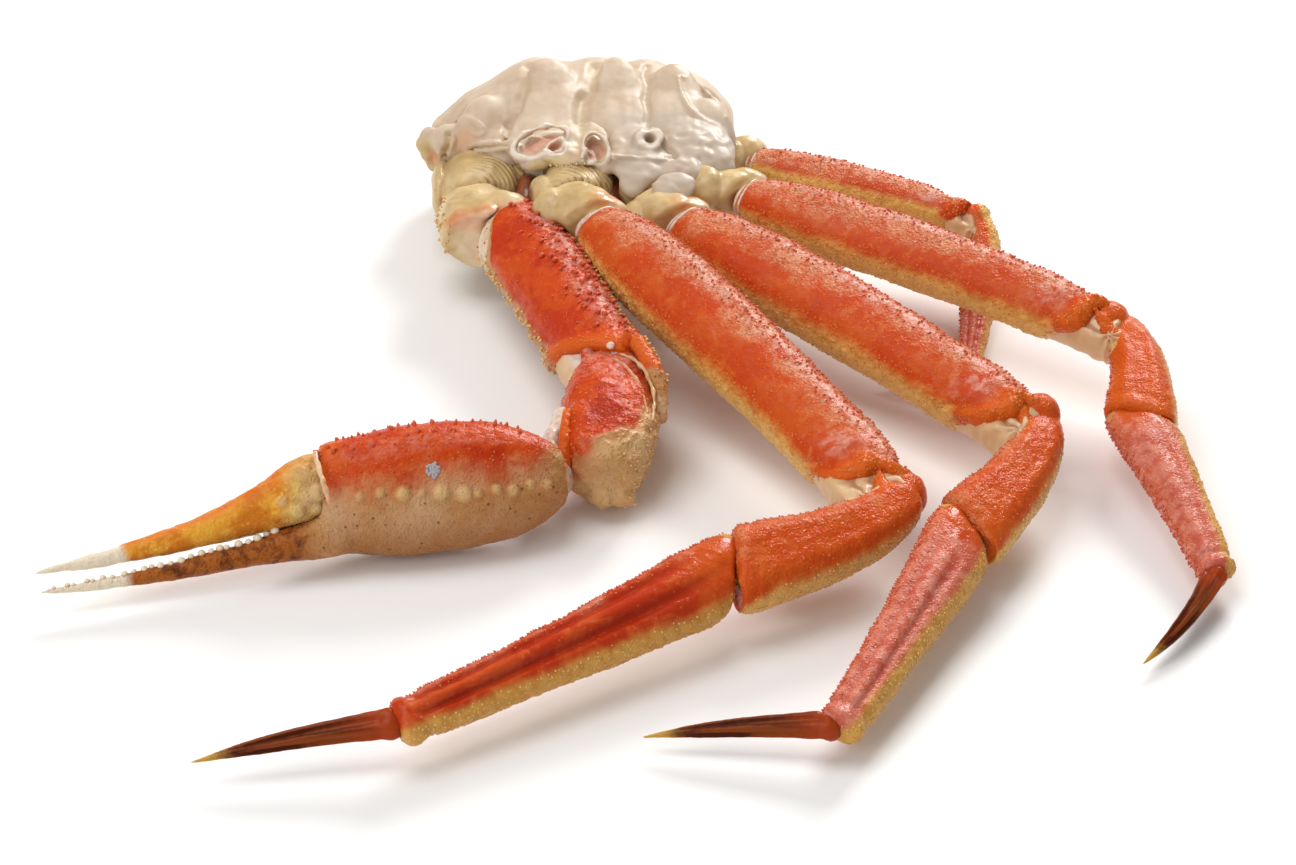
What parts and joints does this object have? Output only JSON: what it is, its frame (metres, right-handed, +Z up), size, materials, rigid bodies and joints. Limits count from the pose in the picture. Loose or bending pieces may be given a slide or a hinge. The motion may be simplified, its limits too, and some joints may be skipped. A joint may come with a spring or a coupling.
{
  "type": "snow crab cluster",
  "caption": "Cooked crab cluster: a white lobed shoulder with a claw arm and orange jointed walking legs that end in dark tips.",
  "frame": {"origin": "under the middle of the whole, on the surface it lies on", "axes": "+Z up; +Y from the leg tips towards the shoulder; +X to the right of an onlooker who faces the shoulder over the legs"},
  "size_m": [0.2656, 0.2688, 0.0374],
  "materials": {
    "white_meat": "moist satin white meat under a thin clear skin",
    "cream_shell": "thin cream shell, satin",
    "orange_shell": "glossy orange shell with a pale underside and fine bumps",
    "pink_shell": "satin reddish shell with lengthwise ridges and a golden edge",
    "ochre_shell": "satin golden brown shell",
    "dark_tip": "dark horn-like spike with a paler point",
    "joint_skin": "moist creased skin"
  },
  "bodies": {
    "root": {"shoulder": "white_meat", "claw_coxa": "cream_shell", "claw_ischium": "cream_shell", "claw_merus": "orange_shell", "claw_carpus": "orange_shell", "claw_palm": "orange_shell", "claw_finger": "ochre_shell", "claw_knee": "joint_skin", "leg1_coxa": "cream_shell", "leg1_ischium": "cream_shell", "leg1_merus": "orange_shell", "leg1_carpus": "orange_shell", "leg1_propodus": "pink_shell", "leg1_dactyl": "dark_tip", "leg1_knee": "joint_skin", "leg2_coxa": "cream_shell", "leg2_ischium": "cream_shell", "leg2_merus": "orange_shell", "leg2_carpus": "orange_shell", "leg2_propodus": "pink_shell", "leg2_dactyl": "dark_tip", "leg2_knee": "joint_skin", "leg3_coxa": "cream_shell", "leg3_ischium": "cream_shell", "leg3_merus": "orange_shell", "leg3_carpus": "orange_shell", "leg3_propodus": "pink_shell", "leg3_dactyl": "dark_tip", "leg3_knee": "joint_skin", "leg4_coxa": "cream_shell", "leg4_ischium": "cream_shell", "leg4_merus": "orange_shell", "leg4_carpus": "orange_shell", "leg4_propodus": "pink_shell", "leg4_dactyl": "dark_tip", "leg4_knee": "joint_skin"}
  },
  "joints": []
}
